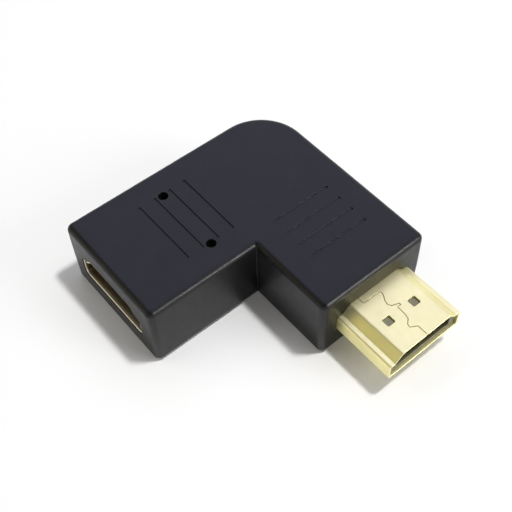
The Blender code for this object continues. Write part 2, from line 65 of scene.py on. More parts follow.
GRIP_DEPTH = 0.00018
GRIP_END_RADIUS = 0.0002
SOCKET_GRIP_LENGTH = 0.0120
PLUG_GRIP_LENGTH = 0.0104
PLUG_GRIP_DISTANCE = 0.0130  # of the middle of the lines, along the plug arm

# Section of the plug's shell on the outside, as (half width, height above the axis, corner radius)
CONNECTOR_SECTION = (
    (0.00695, -0.002225, 0.0006),
    (0.00695, 0.000975, 0.0004),
    (0.00600, 0.000975, 0.0003),
    (0.00465, 0.002225, 0.0007),
)

# Shells
SHEET = 0.0003
PLUG_RIM_RADIUS = 0.00008
SOCKET_RIM_RADIUS = 0.00013
RIM_STEPS = 4
SHEET_EDGE = 0.00003  # rounding of the edges that cuts leave in a sheet
SHEET_EDGE_SEGMENTS = 2
FACE_CUT = 0.0030  # from the plug's middle out through a broad face
PLUG_EXPOSED = 0.0104
PLUG_SHELL_BURIED = 0.0068
PLUG_TIP = PLUG_REACH + PLUG_EXPOSED
PLUG_SHELL_BACK = PLUG_REACH - PLUG_SHELL_BURIED
SOCKET_SHELL_SETBACK = 0.0001
SOCKET_SHELL_LENGTH = 0.0159
SOCKET_SHELL_MOUTH = SOCKET_REACH - SOCKET_SHELL_SETBACK
SOCKET_SHELL_BACK = SOCKET_SHELL_MOUTH - SOCKET_SHELL_LENGTH
SOCKET_PLAY = 0.00005  # between the mated plug and the socket's shell, on every side
LATCH_WINDOW = 0.0014
LATCH_CORNER_RADIUS = 0.00025
LATCH_SPACING = 0.0050
LATCH_DISTANCE = 0.0050  # from the plug's tip to the middle of the windows
SEAM_WIDTH = 0.00008
# The plug's joint, as (across from the middle, along from the tip)
SEAM = (
    (0.0, 0.0018), (-0.0010, 0.0024), (-0.0009, 0.0029), (-0.0002, 0.0035), (0.0, 0.0042),
    (0.0001, 0.0059), (0.0007, 0.0058), (0.0007, 0.0061), (-0.0004, 0.0065), (-0.0007, 0.0071),
    (-0.0005, 0.0078), (-0.0001, 0.0084), (0.0001, 0.0089), (0.0, 0.0092), (-0.0003, 0.0093),
    (-0.0029, 0.0093), (-0.0031, 0.0095),
)
LEAF_WIDTH = 0.0014
LEAF_LENGTH = 0.0056
LEAF_SPACING = 0.0058
LEAF_MARGIN = 0.0004
LEAF_ROOT_DEPTH = 0.0089  # from the socket's mouth
LEAF_ROOT = SOCKET_REACH - LEAF_ROOT_DEPTH
LEAF_BOW = 0.00042
LEAF_SHEET = 0.00026
LEAF_LAP = 0.0005
LEAF_CREST_START = 0.0020  # from the leaf's tip
LEAF_CREST_END = 0.0012

# Socket's insulator
CONTACTS = 19
CONTACT_PITCH = 0.0010
CONTACT_WIDTH = 0.00045
CONTACT_PLANE = -0.0001  # middle of the tongue, above the connector's own middle
INSULATOR_OVERHANG = 0.0003  # of the insulator's back past the shell
SOCKET_DEPTH = 0.0113
TONGUE_SETBACK = 0.0010
SOCKET_INSULATOR_BACK = SOCKET_SHELL_BACK - INSULATOR_OVERHANG
SOCKET_FLOOR = SOCKET_REACH - SOCKET_DEPTH
TONGUE_TIP = SOCKET_REACH - TONGUE_SETBACK
TONGUE_WIDTH = 0.0102
TONGUE_THICKNESS = 0.0014
TONGUE_EDGE_RADIUS = 0.00023
GROOVE_PLAY = 0.00005
GROOVE_END_WALL = 0.0004  # left in front of the grooves
TONGUE_GROOVE_DEPTH = 0.0002
GROOVE_CUT = 0.0001  # by which the cutters stand out of the tongue
GROOVE_LOW = TONGUE_THICKNESS / 2 - TONGUE_GROOVE_DEPTH
GROOVE_HIGH = TONGUE_THICKNESS / 2 + GROOVE_CUT

# Making of the meshes
SEAT_GAP = 0.00005  # between pieces that touch
THROUGH = 0.0010  # how far a cutter runs past what it cuts
LEAST_RADIUS = 0.0001
FILL_SCALE = 1000  # outlines are filled at this scale, because the fill merges close points
WELD = 1e-7
FINE_ARC = math.radians(5)
SMALL_ARC = math.radians(12)
GRIP_END_STEP = math.radians(22.5)
CIRCLE_STEPS = 48
FLAT_ANGLE = math.radians(0.2)
SHARP_ANGLE = math.radians(50)
SHADING_ANGLE = math.radians(60)
NORMAL_WEIGHT = 80
QUARTER_TURN = math.radians(90)

# Camera, as fitted to the photograph
CAMERA_AZIMUTH = math.radians(49.622)
CAMERA_ELEVATION = math.radians(54.152)
CAMERA_ROLL = math.radians(-0.214)
CAMERA_DISTANCE = 0.129047
CAMERA_TARGET = Vector((0.010859, -0.005818, 0.0050))
CAMERA_LENS = 60.735
CAMERA_SENSOR = 36
CAMERA_SHIFT = (-0.04585, 0.01212)
CAMERA_CLIP_START = 0.005

# Light
LAMP_AIM = Vector((0.010, -0.005, 0.005))
LAMP_DISTANCE = 1.2
# Each lamp's name, direction, width, height, radiance, colour, whether it lights and whether gloss shows it
LAMPS = (
    ("key", (0.19, 0.26, 1.00), 0.11, 0.11, 224.0, (1.00, 1.00, 0.99), True, False),
    ("fill_over", (-0.10, 0.38, 0.90), 1.70, 0.90, 0.80, (0.97, 1.00, 1.08), True, False),
    ("fill_right", (0.76, 0.46, 0.46), 0.50, 0.50, 4.00, (1.00, 1.00, 1.03), True, False),
    ("glow_over", (-0.30, 0.45, 0.85), 1.90, 1.80, 0.97, (0.97, 0.99, 1.40), False, True),
    ("glow_right", (0.81, 0.38, 0.44), 0.40, 0.26, 28.0, (1.00, 1.00, 1.00), False, True),
    ("fill_front", (-0.52, -0.50, 0.70), 0.70, 0.60, 1.45, (1.00, 0.97, 0.88), True, False),
    ("glow_front", (-0.445, -0.778, 0.442), 0.70, 0.45, 0.82, (0.98, 0.86, 0.15), False, True),
)
WORLD_COLOUR = (1.0, 0.95, 0.88)
WORLD_STRENGTH = 0.13
HORIZON_TOP = 0.10  # in the Z of a direction, up to where gloss sees the world white
HORIZON_END = 0.25  # from where gloss sees it dim
FLOOR_WIDTH = 6.0
FLOOR_COLOUR = 0.92
FLOOR_ROUGHNESS = 0.6
FLOOR_SPECULAR = 0.2
FLOOR_LIFT = 0.06  # glow that only the camera and gloss see
FLOOR_NEAR = 0.10  # from where the floor turns white to the camera and to gloss
FLOOR_FAR = 0.60  # from where it is all white to them

# Looks. The scale of a noise is in waves a metre, and the depth of a relief in metres
NOISE_LOW = 0.3
NOISE_HIGH = 0.7
COLOUR_DETAIL = 3
RELIEF_DETAIL = 2
VINYL_DARK = (0.0060, 0.0060, 0.0067)
VINYL_PALE = (0.0080, 0.0080, 0.0089)
VINYL_MOTTLE_SCALE = 260
VINYL_POLISH_SCALE = 900
VINYL_POLISH_DETAIL = 4
VINYL_ROUGHNESS = (0.34, 0.42)
VINYL_SPECULAR = 0.30
VINYL_GRAIN_SCALES = (9000, 2500)
VINYL_GRAIN_DEPTH = 0.000006
GOLD = (0.95, 0.88, 0.46)
CONTACT_GOLD = (0.93, 0.75, 0.34)
GOLD_SHADES = (0.95, 1.04)
GOLD_METALLIC = 0.85
GOLD_ROUGHNESS = 0.42
CONTACT_ROUGHNESS = 0.25
GOLD_ROUGHNESS_SPREAD = (0.85, 1.20)
GOLD_MOTTLE_SCALE = 180
PLATING_POLISH_SCALE = 1500
PLATING_WAVE_SCALE = 500
PLATING_WAVE_DEPTH = 0.000003
# The socket's sheet: a paler rim at the mouth, which is a painted highlight, and a darker inside, which is
# painted shade in the mouth
SOCKET_RIM_HIGHLIGHT_GOLD = (0.84, 0.76, 0.60)
SOCKET_SHADED_GOLD = (0.47, 0.38, 0.22)
SOCKET_RIM_HIGHLIGHT_DEPTH = 0.00016  # from the mouth, where the painted highlight on the rim ends
SOCKET_FULL_SHADE_DEPTH = 0.0006  # where the painted shade inside the mouth is full
SOCKET_ROUGHNESS = (0.30, 0.42)
INSULATOR_GREY = (0.155, 0.148, 0.088)
TONGUE_BLACK = (0.020, 0.020, 0.021)
CORE_BLACK = (0.012, 0.012, 0.013)
INSULATOR_ROUGHNESS = 0.35
CORE_ROUGHNESS = 0.6
PLASTIC_SHADE = 1.3
PLASTIC_ROUGHNESS_SPREAD = (0.85, 1.15)
PLASTIC_MOTTLE_SCALE = 400
PLASTIC_POLISH_SCALE = 1200
PLASTIC_GRAIN_SCALE = 3000
PLASTIC_GRAIN_DEPTH = 0.000003
BOARD_DARK = (0.012, 0.09, 0.035)
BOARD_PALE = (0.025, 0.15, 0.06)
BOARD_ROUGHNESS = 0.35
WEAVE_SCALE = 2500
WEAVE_STRETCH = (1, 0.3, 1)
WEAVE_DEPTH = 0.000008

# From a connector's own axes, across, up and along, to the frame's
PLUG_AXIS = Matrix(((0, 0, 1, 0), (1, 0, 0, 0), (0, 1, 0, CONNECTOR_HEIGHT), (0, 0, 0, 1)))
SOCKET_AXIS = Matrix(((1, 0, 0, 0), (0, 0, -1, 0), (0, 1, 0, CONNECTOR_HEIGHT), (0, 0, 0, 1)))


def rounded(corners, step):
    """The points of an outline whose corners (x, y, radius) are turned into arcs."""
    points = []
    for index, (x, y, radius) in enumerate(corners):
        here = Vector((x, y))
        before = (Vector(corners[index - 1][:2]) - here).normalized()
        after = (Vector(corners[(index + 1) % len(corners)][:2]) - here).normalized()
        half = before.angle(after) / 2
        centre = here + (before + after).normalized() * (radius / math.sin(half))
        first = here + before * (radius / math.tan(half)) - centre
        turn = math.copysign(math.pi - 2 * half, after.cross(before))
        steps = max(2, round(abs(turn) / step))
        start = math.atan2(first.y, first.x)
        for i in range(steps + 1):
            angle = start + turn * i / steps
            points.append(centre + radius * Vector((math.cos(angle), math.sin(angle))))
    return points


def inset(corners, distance):
    """The same corners with each side moved inward, or outward where the distance is negative."""
    moved = []
    for index, (x, y, radius) in enumerate(corners):
        here = Vector((x, y))
        into = (here - Vector(corners[index - 1][:2])).normalized()
        onward = (Vector(corners[(index + 1) % len(corners)][:2]) - here).normalized()
        normals = Vector((-into.y, into.x)), Vector((-onward.y, onward.x))
        here += (normals[0] + normals[1]) * (distance / (1 + normals[0].dot(normals[1])))
        left_turn = math.copysign(1, into.cross(onward))
        moved.append((here.x, here.y, max(radius - left_turn * distance, LEAST_RADIUS)))
    return moved


def rectangle(width, depth, radius, centre=(0.0, 0.0)):
    x, y = centre
    halves = ((-1, -1), (1, -1), (1, 1), (-1, 1))
    return [(x + a * width / 2, y + b * depth / 2, radius) for a, b in halves]


def strip(path, thickness):
    """The outline of a bent strip that follows a path."""
    points = [Vector(point) for point in path]
    sides = ([], [])
    for index, point in enumerate(points):
        into = (point - points[max(index - 1, 0)]).normalized()
        onward = (points[min(index + 1, len(points) - 1)] - point).normalized()
        into = into if index else onward
        onward = onward if index < len(points) - 1 else into
        normals = Vector((-into.y, into.x)), Vector((-onward.y, onward.x))
        offset = (normals[0] + normals[1]) * (thickness / 2 / (1 + normals[0].dot(normals[1])))
        sides[0].append(point - offset)
        sides[1].append(point + offset)
    return sides[0] + sides[1][::-1]


def place(name, mesh, matrix=None):
    obj = bpy.data.objects.new(name, mesh)
    bpy.context.scene.collection.objects.link(obj)
    if matrix:
        obj.matrix_world = matrix
    return obj


def plate(name, outlines, low, high, matrix=None):
    """A flat outline, with any further outlines as holes in it, made solid from low to high along its Z."""
    curve = bpy.data.curves.new(name, "CURVE")
    curve.dimensions = "2D"
    curve.fill_mode = "BOTH"
    curve.extrude = (high - low) / 2 * FILL_SCALE
    for outline in outlines:
        spline = curve.splines.new("POLY")
        spline.points.add(len(outline) - 1)
        for point, spot in zip(spline.points, outline):
            point.co = (spot[0] * FILL_SCALE, spot[1] * FILL_SCALE, 0, 1)
        spline.use_cyclic_u = True
    guide = place(name, curve)
    graph = bpy.context.evaluated_depsgraph_get()
    mesh = bpy.data.meshes.new_from_object(guide.evaluated_get(graph))
    bpy.data.objects.remove(guide)
    bpy.data.curves.remove(curve)
    shape = bmesh.new()
    shape.from_mesh(mesh)
    bmesh.ops.scale(shape, vec=(1 / FILL_SCALE,) * 3, verts=shape.verts)
    bmesh.ops.translate(shape, vec=(0, 0, (low + high) / 2), verts=shape.verts)
    bmesh.ops.remove_doubles(shape, verts=shape.verts, dist=WELD)
    bmesh.ops.dissolve_limit(shape, angle_limit=FLAT_ANGLE, verts=shape.verts, edges=shape.edges)
    bmesh.ops.recalc_face_normals(shape, faces=shape.faces)
    shape.to_mesh(mesh)
    shape.free()
    mesh.name = name
    return place(name, mesh, matrix)


def solid(name, shape, matrix=None):
    mesh = bpy.data.meshes.new(name)
    shape.to_mesh(mesh)
    shape.free()
    return place(name, mesh, matrix)


def join_rings(shape, pairs):
    """Faces between the rings of each pair, which have as many vertices."""
    for lower, upper in pairs:
        for index in range(len(lower)):
            shape.faces.new((lower[index - 1], lower[index], upper[index], upper[index - 1]))


def lofted(name, levels, matrix=None):
    """A solid between outlines of as many points, given from the bottom up as (height, outline)."""
    shape = bmesh.new()
    rings = [[shape.verts.new((x, y, height)) for x, y in outline] for height, outline in levels]
    join_rings(shape, zip(rings, rings[1:]))
    shape.faces.new(rings[0][::-1])
    shape.faces.new(rings[-1])
    return solid(name, shape, matrix)


def cylinder(name, radius, low, high, x, y):
    turns = [2 * math.pi * index / CIRCLE_STEPS for index in range(CIRCLE_STEPS)]
    outline = [(x + radius * math.cos(turn), y + radius * math.sin(turn)) for turn in turns]
    return plate(name, [outline], low, high)


def add_bevel(obj, width, segments):
    modifier = obj.modifiers.new("rounded edges", "BEVEL")
    modifier.width = width
    modifier.segments = segments
    modifier.limit_method = "ANGLE"
    modifier.angle_limit = SHARP_ANGLE
    modifier.use_clamp_overlap = False
    modifier.harden_normals = False


def combine(target, tools, operation="DIFFERENCE"):
    for tool in tools:
        modifier = target.modifiers.new(tool.name, "BOOLEAN")
        modifier.operation = operation
        modifier.solver = "EXACT"
        modifier.object = tool


def apply_modifiers(obj):
    graph = bpy.context.evaluated_depsgraph_get()
    mesh = bpy.data.meshes.new_from_object(obj.evaluated_get(graph))
    obj.modifiers.clear()
    obj.data = mesh


def bake(obj, tools):
    """Makes the cuts and unions final, removes their tools, and puts the mesh in the world's place."""
    apply_modifiers(obj)
    obj.data.transform(obj.matrix_world)
    obj.matrix_world = Matrix.Identity(4)
    for tool in tools:
        bpy.data.objects.remove(tool)
    shape = bmesh.new()
    shape.from_mesh(obj.data)
    bmesh.ops.remove_doubles(shape, verts=shape.verts, dist=WELD)
    bmesh.ops.recalc_face_normals(shape, faces=shape.faces)
    shape.to_mesh(obj.data)
    shape.free()


def soften(obj, width, segments):
    """Breaks the sharp edges that the cuts left, and shades flat faces flat and fillets round."""
    add_bevel(obj, width, segments)
    weighted = obj.modifiers.new("normals", "WEIGHTED_NORMAL")
    weighted.keep_sharp = True
    weighted.weight = NORMAL_WEIGHT
    obj.data.shade_smooth()
    obj.data.set_sharp_from_angle(angle=SHADING_ANGLE)
    apply_modifiers(obj)
    return obj


def dress(obj, material, replaced):
    obj.data.materials.clear()
    obj.data.materials.append(material)
    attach(obj, "root")
    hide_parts(replaced)


def connector_outline(grow=0.0):
    right = list(CONNECTOR_SECTION)
    left = [(-x, y, radius) for x, y, radius in reversed(right)]
    return rounded(inset(right + left, -grow), SMALL_ARC)


def sheet_tube(name, outside, back, front, rim, matrix):
    """A tube of folded sheet with the connector's section, its front edges rounded."""
    path = [(outside, back)]
    for edge, start in ((outside - rim, 0), (outside - SHEET + rim, QUARTER_TURN)):
        for index in range(RIM_STEPS + 1):
            angle = start + QUARTER_TURN * index / RIM_STEPS
            path.append((edge + rim * math.cos(angle), front - rim + rim * math.sin(angle)))
    path.append((outside - SHEET, back))
    shape = bmesh.new()
    rings = [[shape.verts.new((x, y, height)) for x, y in connector_outline(grow)] for grow, height in path]
    join_rings(shape, zip(rings[-1:] + rings[:-1], rings))
    bmesh.ops.recalc_face_normals(shape, faces=shape.faces)
    return solid(name, shape, matrix)


def body_corners(taper=0.0):
    """The corners of the L, with its long sides moved inward by the taper."""
    half_socket, half_plug = SOCKET_ARM_WIDTH / 2 - taper, PLUG_ARM_WIDTH / 2 - taper
    return [
        (-half_socket, -SOCKET_REACH, END_CORNER_RADIUS),
        (half_socket, -SOCKET_REACH, END_CORNER_RADIUS),
        (half_socket, -half_plug, INNER_CORNER_RADIUS),
        (PLUG_REACH, -half_plug, END_CORNER_RADIUS),
        (PLUG_REACH, half_plug, END_CORNER_RADIUS),
        (-half_socket, half_plug, OUTER_CORNER_RADIUS),
    ]


def connector_openings():
    """Cutters for the opening round the plug and the mouth round the socket."""
    openings = []
    for name, reach, grow, matrix in (
        ("plug_exit", PLUG_REACH, SEAT_GAP, PLUG_AXIS),
        ("socket_mouth", SOCKET_REACH, SOCKET_PLAY + SHEET + SEAT_GAP, SOCKET_AXIS),
    ):
        start = reach - OUTER_WALL - THROUGH
        openings.append(plate(name, [connector_outline(grow)], start, reach + THROUGH, matrix))
    return openings


def pin_holes():
    low, high = BODY_THICKNESS - OUTER_WALL - THROUGH, BODY_THICKNESS + THROUGH
    holes = []
    for side in (-1, 1):
        x = PIN_HOLE_OFFSET + side * PIN_HOLE_SPACING / 2
        holes.append(cylinder("pin_hole", PIN_HOLE_RADIUS, low, high, x, -PIN_HOLE_DISTANCE))
    return holes


def grip_lines():
    """Cutters for the plain grip lines across both arms."""
    low, high = BODY_THICKNESS - GRIP_DEPTH, BODY_THICKNESS + THROUGH
    lines = []
    for index in range(GRIP_LINES):
        along = (index - (GRIP_LINES - 1) / 2) * GRIP_PITCH
        on_socket_arm, on_plug_arm = (0, along - PIN_HOLE_DISTANCE), (PLUG_GRIP_DISTANCE + along, 0)
        for corners in (
            rectangle(SOCKET_GRIP_LENGTH, GRIP_WIDTH, GRIP_END_RADIUS, on_socket_arm),
            rectangle(GRIP_WIDTH, PLUG_GRIP_LENGTH, GRIP_END_RADIUS, on_plug_arm),
        ):
            lines.append(plate("grip_line", [rounded(corners, GRIP_END_STEP)], low, high))
    return lines


def moulded_body():
    levels = []
    for height, taper in ((0, SIDE_TAPER), (BODY_THICKNESS / 2, 0), (BODY_THICKNESS, SIDE_TAPER)):
        levels.append((height, rounded(body_corners(taper), FINE_ARC)))
    body = lofted("moulded_body", levels)
    add_bevel(body, EDGE_RADIUS, EDGE_SEGMENTS)
    wall = OUTER_WALL - SEAT_GAP
    hollow = rounded(inset(body_corners(), wall), FINE_ARC)
    tools = [plate("core_space", [hollow], wall, BODY_THICKNESS - wall)]
    tools += connector_openings() + pin_holes() + grip_lines()
    combine(body, tools)
    bake(body, tools)
    return soften(body, CUT_ROUNDING, CUT_ROUNDING_SEGMENTS)


def latch_windows(matrix):
    """Cutters through both broad faces of the plug's shell."""
    windows = []
    for side in (-1, 1):
        centre = (side * LATCH_SPACING / 2, PLUG_TIP - LATCH_DISTANCE)
        corners = rectangle(LATCH_WINDOW, LATCH_WINDOW, LATCH_CORNER_RADIUS, centre)
        windows.append(plate("latch_window", [rounded(corners, SMALL_ARC)], -FACE_CUT, FACE_CUT, matrix))
    return windows


def seam(matrix):
    """A cutter for the interlocking joint in the narrow face, from the tip to the shell's back."""
    path = [(x, PLUG_TIP - from_tip) for x, from_tip in SEAM]
    path.insert(0, (path[0][0], PLUG_TIP + THROUGH))
    path.append((path[-1][0], PLUG_SHELL_BACK - THROUGH))
    return plate("seam", [strip(path, SEAM_WIDTH)], -FACE_CUT, 0, matrix)


def plug_sheet():
    shell = sheet_tube("plug_sheet", 0.0, PLUG_SHELL_BACK, PLUG_TIP, PLUG_RIM_RADIUS, PLUG_AXIS)
    turned = PLUG_AXIS @ Matrix.Rotation(QUARTER_TURN, 4, "X")
    tools = latch_windows(turned) + [seam(turned)]
    combine(shell, tools)
    bake(shell, tools)
    return soften(shell, SHEET_EDGE, SHEET_EDGE_SEGMENTS)


def spring_leaf(x, face):
    """A cutter for a window in a broad face of the socket's shell, and the bowed leaf that lies in it."""
    height = CONNECTOR_SECTION[-1][1] + SOCKET_PLAY + SHEET / 2
    bowed = height - LEAF_BOW
    tip = LEAF_ROOT + LEAF_LENGTH
    middle = (x, (LEAF_ROOT + tip + LEAF_MARGIN) / 2)
    corners = rectangle(LEAF_WIDTH + 2 * LEAF_MARGIN, LEAF_LENGTH + LEAF_MARGIN, LEAST_RADIUS, middle)
    in_face = SOCKET_AXIS @ Matrix.Translation((0, face * height, 0)) @ Matrix.Rotation(QUARTER_TURN, 4, "X")
    window = plate("leaf_window", [rounded(corners, SMALL_ARC)], -SHEET, SHEET, in_face)
    path = [
        (LEAF_ROOT - LEAF_LAP, face * height),
        (LEAF_ROOT, face * height),
        (tip - LEAF_CREST_START, face * bowed),
        (tip - LEAF_CREST_END, face * bowed),
        (tip, face * height),
    ]
    upright = SOCKET_AXIS @ Matrix.Translation((x, 0, 0)) @ Matrix.Rotation(-QUARTER_TURN, 4, "Y")
    leaf = plate("leaf", [strip(path, LEAF_SHEET)], -LEAF_WIDTH / 2, LEAF_WIDTH / 2, upright)
    return window, leaf


def socket_sheet():
    outside = SOCKET_PLAY + SHEET
    back, front = SOCKET_SHELL_BACK, SOCKET_SHELL_MOUTH
    shell = sheet_tube("socket_sheet", outside, back, front, SOCKET_RIM_RADIUS, SOCKET_AXIS)
    windows, leaves = [], []
    for side, face in ((-1, -1), (1, -1), (-1, 1), (1, 1)):
        window, leaf = spring_leaf(side * LEAF_SPACING / 2, face)
        windows.append(window)
        leaves.append(leaf)
    combine(shell, windows)
    combine(shell, leaves, "UNION")
    bake(shell, windows + leaves)
    return soften(shell, SHEET_EDGE, SHEET_EDGE_SEGMENTS)


def contact_grooves(start, end):
    """Cutters for both rows of contacts in the tongue, the odd ones below and the even ones above."""
    half = CONTACT_WIDTH / 2 + GROOVE_PLAY
    outlines = []
    for side, count in ((1, CONTACTS // 2), (-1, CONTACTS - CONTACTS // 2)):
        low, high = sorted((CONTACT_PLANE + side * GROOVE_LOW, CONTACT_PLANE + side * GROOVE_HIGH))
        for index in range(count):
            x = (index - (count - 1) / 2) * CONTACT_PITCH
            outlines.append([(x - half, low), (x + half, low), (x + half, high), (x - half, high)])
    return plate("contact_grooves", outlines, start, end, SOCKET_AXIS)


def tongue_block():
    """The socket's insulator: a block at the back with the tongue standing forward from it."""
    outline = connector_outline(SOCKET_PLAY - SEAT_GAP)
    block = plate("tongue_block", [outline], SOCKET_INSULATOR_BACK, SOCKET_FLOOR, SOCKET_AXIS)
    radius = TONGUE_EDGE_RADIUS + LEAST_RADIUS
    corners = rectangle(TONGUE_WIDTH, TONGUE_THICKNESS, radius, (0, CONTACT_PLANE))
    levels = [(SOCKET_FLOOR - THROUGH, rounded(corners, SMALL_ARC))]
    for index in range(RIM_STEPS + 1):
        angle = QUARTER_TURN * index / RIM_STEPS
        drop = TONGUE_EDGE_RADIUS * (1 - math.cos(angle))
        height = TONGUE_TIP - TONGUE_EDGE_RADIUS * (1 - math.sin(angle))
        levels.append((height, rounded(inset(corners, drop), SMALL_ARC)))
    tongue = lofted("tongue", levels, SOCKET_AXIS)
    grooves = contact_grooves(SOCKET_INSULATOR_BACK - THROUGH, TONGUE_TIP - GROOVE_END_WALL)
    combine(block, [tongue], "UNION")
    combine(block, [grooves])
    bake(block, [tongue, grooves])
    return soften(block, SHEET_EDGE, SHEET_EDGE_SEGMENTS)


class Nodes:
    """A node tree, with short calls for what the looks and the backdrop need."""

    def __init__(self, tree):
        self.tree = tree

    def add(self, kind, **values):
        node = self.tree.nodes.new(kind)
        for key, value in values.items():
            setattr(node, key, value)
        return node

    def join(self, output, target):
        self.tree.links.new(output, target)

    def worked_out(self, operation, first, second):
        """The product, maximum or the like of an output and either another output or a plain number."""
        node = self.add("ShaderNodeMath", operation=operation)
        self.join(first, node.inputs[0])
        if isinstance(second, float):
            node.inputs[1].default_value = second
        else:
            self.join(second, node.inputs[1])
        return node.outputs["Value"]

    def spread(self, factor, low, high, start, end):
        """A number that goes from low to high, as the factor runs from start to end."""
        node = self.add("ShaderNodeMapRange")
        for key, value in (("From Min", start), ("From Max", end), ("To Min", low), ("To Max", high)):
            node.inputs[key].default_value = value
        self.join(factor, node.inputs["Value"])
        return node.outputs["Result"]

    def mixed(self, factor, first, second):
        """The first shader where the factor is 0 and the second where it is 1."""
        node = self.add("ShaderNodeMixShader")
        self.join(factor, node.inputs["Fac"])
        self.join(first.outputs[0], node.inputs[1])
        self.join(second.outputs[0], node.inputs[2])
        return node.outputs["Shader"]


class Look(Nodes):
    """A new material, with short calls for its colour, roughness and relief."""

    def __init__(self, name):
        self.material = bpy.data.materials.new(name)
        self.material.use_nodes = True
        super().__init__(self.material.node_tree)
        self.shader = self.tree.nodes["Principled BSDF"]
        self.place = self.add("ShaderNodeTexCoord").outputs["Object"]

    def set(self, values):
        for name, value in values.items():
            self.shader.inputs[name].default_value = value

    def noise(self, scale, detail=COLOUR_DETAIL, stretch=(1, 1, 1)):
        mapping = self.add("ShaderNodeMapping")
        mapping.inputs["Scale"].default_value = stretch
        self.join(self.place, mapping.inputs["Vector"])
        texture = self.add("ShaderNodeTexNoise")
        texture.inputs["Scale"].default_value = scale
        texture.inputs["Detail"].default_value = detail
        self.join(mapping.outputs["Vector"], texture.inputs["Vector"])
        return texture.outputs["Fac"]

    def paint(self, factor, low, high, start=NOISE_LOW, end=NOISE_HIGH):
        """A base colour that goes from low to high, as the factor runs from start to end."""
        ramp = self.add("ShaderNodeValToRGB")
        for element, position, colour in zip(ramp.color_ramp.elements, (start, end), (low, high)):
            element.position = position
            element.color = (*colour, 1)
        self.join(factor, ramp.inputs["Fac"])
        self.join(ramp.outputs["Color"], self.shader.inputs["Base Color"])

    def polish(self, factor, low, high):
        """A roughness that goes from low to high with a noise."""
        self.join(self.spread(factor, low, high, NOISE_LOW, NOISE_HIGH), self.shader.inputs["Roughness"])

    def bump(self, *heights):
        """Surface relief from pairs of (height, depth in metres), one on another."""
        normal = None
        for height, depth in heights:
            node = self.add("ShaderNodeBump")
            node.inputs["Strength"].default_value = 1.0
            node.inputs["Distance"].default_value = depth
            self.join(height, node.inputs["Height"])
            if normal:
                self.join(normal, node.inputs["Normal"])
            normal = node.outputs["Normal"]
        self.join(normal, self.shader.inputs["Normal"])


def vinyl():
    look = Look("moulded_vinyl")
    look.set({"Specular IOR Level": VINYL_SPECULAR})
    look.paint(look.noise(VINYL_MOTTLE_SCALE), VINYL_DARK, VINYL_PALE)
    look.polish(look.noise(VINYL_POLISH_SCALE, VINYL_POLISH_DETAIL), *VINYL_ROUGHNESS)
    look.bump(*((look.noise(scale, RELIEF_DETAIL), VINYL_GRAIN_DEPTH) for scale in VINYL_GRAIN_SCALES))
    return look.material


def gold(name, roughness, colour):
    look = Look(name)
    look.set({"Metallic": GOLD_METALLIC})
    dark, pale = ([part * shade for part in colour] for shade in GOLD_SHADES)
    look.paint(look.noise(GOLD_MOTTLE_SCALE), dark, pale)
    look.polish(look.noise(PLATING_POLISH_SCALE), *(roughness * share for share in GOLD_ROUGHNESS_SPREAD))
    look.bump((look.noise(PLATING_WAVE_SCALE, RELIEF_DETAIL), PLATING_WAVE_DEPTH))
    return look.material


def socket_metal():
    """Plated sheet with a painted highlight on the rim of the mouth and painted shade a little way in from it.
    """
    look = Look("socket_sheet_metal")
    look.set({"Metallic": 1.0})
    split = look.add("ShaderNodeSeparateXYZ")
    look.join(look.place, split.inputs[0])
    # Paler at the rim as a painted highlight, darker further in as painted shade inside the mouth
    start, end = SOCKET_RIM_HIGHLIGHT_DEPTH - SOCKET_SHELL_MOUTH, SOCKET_FULL_SHADE_DEPTH - SOCKET_SHELL_MOUTH
    depth = look.spread(split.outputs["Y"], 0.0, 1.0, start, end)
    look.paint(depth, SOCKET_RIM_HIGHLIGHT_GOLD, SOCKET_SHADED_GOLD, 0.0, 1.0)
    look.polish(look.noise(PLATING_POLISH_SCALE), *SOCKET_ROUGHNESS)
    look.bump((look.noise(PLATING_WAVE_SCALE, RELIEF_DETAIL), PLATING_WAVE_DEPTH))
    return look.material


def dark_plastic(name, roughness, colour):
    look = Look(name)
    look.paint(look.noise(PLASTIC_MOTTLE_SCALE), colour, [part * PLASTIC_SHADE for part in colour])
    look.polish(look.noise(PLASTIC_POLISH_SCALE), *(roughness * share for share in PLASTIC_ROUGHNESS_SPREAD))
    look.bump((look.noise(PLASTIC_GRAIN_SCALE, RELIEF_DETAIL), PLASTIC_GRAIN_DEPTH))
    return look.material


def board_green():
    look = Look("green_laminate")
    look.set({"Roughness": BOARD_ROUGHNESS})
    weave = look.noise(WEAVE_SCALE, RELIEF_DETAIL, WEAVE_STRETCH)
    look.paint(weave, BOARD_DARK, BOARD_PALE)
    look.bump((weave, WEAVE_DEPTH))
    return look.material


def backdrop():
    """A dim world as a light, that the camera sees white, and that gloss sees white near the horizon."""
    world = bpy.data.worlds.new("studio")
    bpy.context.scene.world = world
    world.use_nodes = True
    nodes = Nodes(world.node_tree)
    path = nodes.add("ShaderNodeLightPath")
    split = nodes.add("ShaderNodeSeparateXYZ")
    nodes.join(nodes.add("ShaderNodeTexCoord").outputs["Generated"], split.inputs[0])
    horizon = nodes.spread(split.outputs["Z"], 1.0, 0.0, HORIZON_TOP, HORIZON_END)
    in_gloss = nodes.worked_out("MULTIPLY", path.outputs["Is Glossy Ray"], horizon)
    seen = nodes.worked_out("MAXIMUM", path.outputs["Is Camera Ray"], in_gloss)
    white = nodes.add("ShaderNodeBackground")
    white.inputs["Color"].default_value = (1, 1, 1, 1)
    white.inputs["Strength"].default_value = 1.0
    dim = nodes.tree.nodes["Background"]
    dim.inputs["Color"].default_value = (*WORLD_COLOUR, 1)
    dim.inputs["Strength"].default_value = WORLD_STRENGTH
    nodes.join(nodes.mixed(seen, dim, white), nodes.tree.nodes["World Output"].inputs["Surface"])


